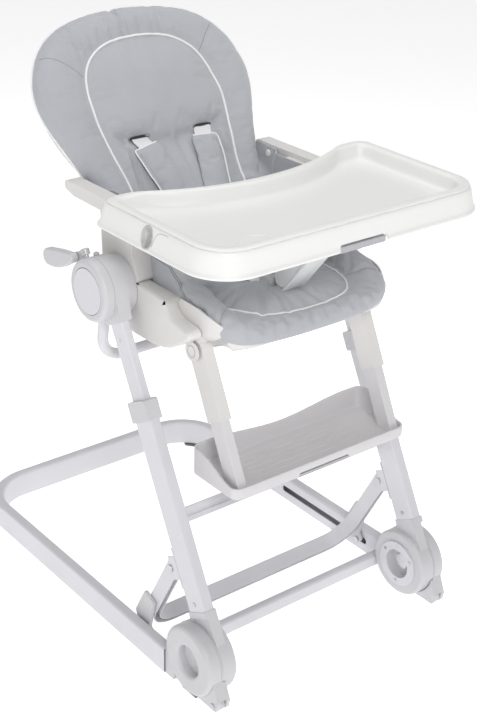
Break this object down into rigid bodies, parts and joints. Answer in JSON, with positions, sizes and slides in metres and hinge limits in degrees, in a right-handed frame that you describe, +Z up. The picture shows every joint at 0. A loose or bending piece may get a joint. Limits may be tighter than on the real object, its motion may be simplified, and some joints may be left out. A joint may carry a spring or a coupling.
{
  "type": "baby high chair",
  "caption": "Folding baby high chair with a U-shaped base, leaning telescopic legs, padded reclining seat, swinging footrest and a two-layer tray.",
  "frame": {"origin": "on the floor, at the middle of the whole chair's footprint", "axes": "+Z up, the chair faces -Y, +X is the seated child's left"},
  "size_m": [0.612, 0.8557, 1.0913],
  "materials": {
    "frame_tube": "white powder coat",
    "white_plastic": "white satin moulding",
    "tray_white": "glossy white",
    "warm_grey_plastic": "light warm grey",
    "footrest_plastic": "light grey",
    "lever_grey": "mid grey",
    "seat_fabric": "light blue-grey weave",
    "webbing": "white webbing",
    "steel": "zinc",
    "rubber_foot": "grey rubber"
  },
  "bodies": {
    "base": {"base_rail": "frame_tube", "base_feet": "rubber_foot", "front_crossbar": "frame_tube", "left_hub_cover": "white_plastic", "right_hub_cover": "white_plastic", "left_nose": "white_plastic", "right_nose": "white_plastic", "roller_pins": "steel", "hub_axles": "steel"},
    "left_roller": {"left_roller": "white_plastic"},
    "right_roller": {"right_roller": "white_plastic"},
    "lower_legs": {"left_hub_socket": "white_plastic", "right_hub_socket": "white_plastic", "hub_rings": "white_plastic", "hub_screws": "steel", "left_leg_tube": "frame_tube", "right_leg_tube": "frame_tube", "leg_collars": "white_plastic", "leg_crossbar": "frame_tube", "brace_brackets": "frame_tube", "leg_bolts": "steel"},
    "brace": {"brace_frame": "frame_tube", "brace_corners": "white_plastic", "slider_pins": "steel"},
    "upper_frame": {"left_upper_tube": "frame_tube", "right_upper_tube": "frame_tube", "leg_glides": "white_plastic", "left_hinge_housing": "white_plastic", "right_hinge_housing": "white_plastic", "hinge_caps": "white_plastic", "hinge_pins": "steel", "rear_cross_tube": "frame_tube"},
    "left_paddle": {"left_release_paddle": "white_plastic"},
    "right_paddle": {"right_release_paddle": "white_plastic"},
    "left_knob": {"left_push_knob": "steel"},
    "right_knob": {"right_push_knob": "steel"},
    "seat_frame": {"hinge_rings": "warm_grey_plastic", "left_side_shell": "warm_grey_plastic", "right_side_shell": "warm_grey_plastic", "left_armrest": "warm_grey_plastic", "right_armrest": "warm_grey_plastic", "seat_shell": "warm_grey_plastic", "seat_pad": "seat_fabric", "recline_shaft": "steel", "footrest_pins": "warm_grey_plastic", "harness_buckle": "warm_grey_plastic", "lap_straps": "webbing"},
    "buckle_button": {"buckle_button": "lever_grey"},
    "backrest": {"back_pad": "seat_fabric", "back_shell": "warm_grey_plastic", "shoulder_pads": "seat_fabric"},
    "recline_handle": {"recline_handle": "lever_grey"},
    "footrest_hanger": {"footrest_sleeves": "white_plastic"},
    "footrest": {"footrest_stays": "frame_tube", "footrest_plate": "footrest_plastic"},
    "footrest_lever": {"footrest_lever": "lever_grey"},
    "tray": {"tray_body": "tray_white", "crotch_post": "warm_grey_plastic"},
    "tray_insert": {"tray_insert": "tray_white"},
    "tray_lever": {"tray_lever": "lever_grey"}
  },
  "joints": [
    {"name": "leg_fold", "type": "hinge", "parent": "base", "child": "lower_legs", "pos_m": [0, -0.346, 0.071], "axis": [-1, 0, 0], "range_deg": [0, 50]},
    {"name": "brace_fold", "type": "hinge", "parent": "lower_legs", "child": "brace", "pos_m": [0, -0.26, 0.214], "axis": [1, 0, 0], "range_deg": [0, 100.75]},
    {"name": "height_slide", "type": "slide", "parent": "lower_legs", "child": "upper_frame", "axis": [0, 0.4695, 0.8829], "range_m": [-0.13, 0]},
    {"name": "seat_hinge", "type": "hinge", "parent": "upper_frame", "child": "seat_frame", "pos_m": [0, -0.048, 0.6847], "axis": [-1, 0, 0], "range_deg": [0, 5]},
    {"name": "backrest_recline", "type": "hinge", "parent": "seat_frame", "child": "backrest", "pos_m": [0, -0.008, 0.672], "axis": [1, 0, 0], "range_deg": [0, 18]},
    {"name": "recline_handle_pull", "type": "slide", "parent": "backrest", "child": "recline_handle", "axis": [0, 0.5906, 0.807], "range_m": [0, 0.008], "stiffness_N_per_m": 400, "springref_m": -0.003},
    {"name": "footrest_swing", "type": "hinge", "parent": "seat_frame", "child": "footrest_hanger", "pos_m": [0, -0.228, 0.614], "axis": [-1, 0, 0], "range_deg": [0, 50]},
    {"name": "footrest_slide", "type": "slide", "parent": "footrest_hanger", "child": "footrest", "axis": [0, 0.4384, 0.8988], "range_m": [0, 0.05]},
    {"name": "footrest_lever_press", "type": "slide", "parent": "footrest", "child": "footrest_lever", "axis": [0, 1, 0], "range_m": [0, 0.006], "stiffness_N_per_m": 300, "springref_m": -0.002},
    {"name": "tray_slide", "type": "slide", "parent": "seat_frame", "child": "tray", "axis": [0, -1, 0], "range_m": [0, 0.05]},
    {"name": "tray_lever_press", "type": "slide", "parent": "tray", "child": "tray_lever", "axis": [0, 1, 0], "range_m": [0, 0.006], "stiffness_N_per_m": 300, "springref_m": -0.002},
    {"name": "tray_insert_lift", "type": "slide", "parent": "tray", "child": "tray_insert", "axis": [0, 0, 1], "range_m": [0, 0.03]},
    {"name": "left_paddle_squeeze", "type": "hinge", "parent": "upper_frame", "child": "left_paddle", "pos_m": [0.279, 0.018, 0.723], "axis": [1, 0, 0], "range_deg": [0, 12], "stiffness_Nm_per_rad": 2, "springref_deg": -8.59},
    {"name": "right_paddle_squeeze", "type": "hinge", "parent": "upper_frame", "child": "right_paddle", "pos_m": [-0.279, 0.018, 0.723], "axis": [1, 0, 0], "range_deg": [0, 12], "stiffness_Nm_per_rad": 2, "springref_deg": -8.59},
    {"name": "left_knob_press", "type": "slide", "parent": "upper_frame", "child": "left_knob", "axis": [0, -0.5299, -0.848], "range_m": [0, 0.0035], "stiffness_N_per_m": 300, "springref_m": -0.002},
    {"name": "right_knob_press", "type": "slide", "parent": "upper_frame", "child": "right_knob", "axis": [0, -0.5299, -0.848], "range_m": [0, 0.0035], "stiffness_N_per_m": 300, "springref_m": -0.002},
    {"name": "buckle_button_press", "type": "slide", "parent": "seat_frame", "child": "buckle_button", "axis": [0, 0, -1], "range_m": [0, 0.0025], "stiffness_N_per_m": 300, "springref_m": -0.002},
    {"name": "left_roller_spin", "type": "hinge", "parent": "base", "child": "left_roller", "pos_m": [0.27, -0.414, 0.0135], "axis": [1, 0, 0], "continuous": true},
    {"name": "right_roller_spin", "type": "hinge", "parent": "base", "child": "right_roller", "pos_m": [-0.27, -0.414, 0.0135], "axis": [1, 0, 0], "continuous": true}
  ],
  "couplings": [
    {"joint": "brace_fold", "follows": "leg_fold", "ratio": 2.005}
  ]
}
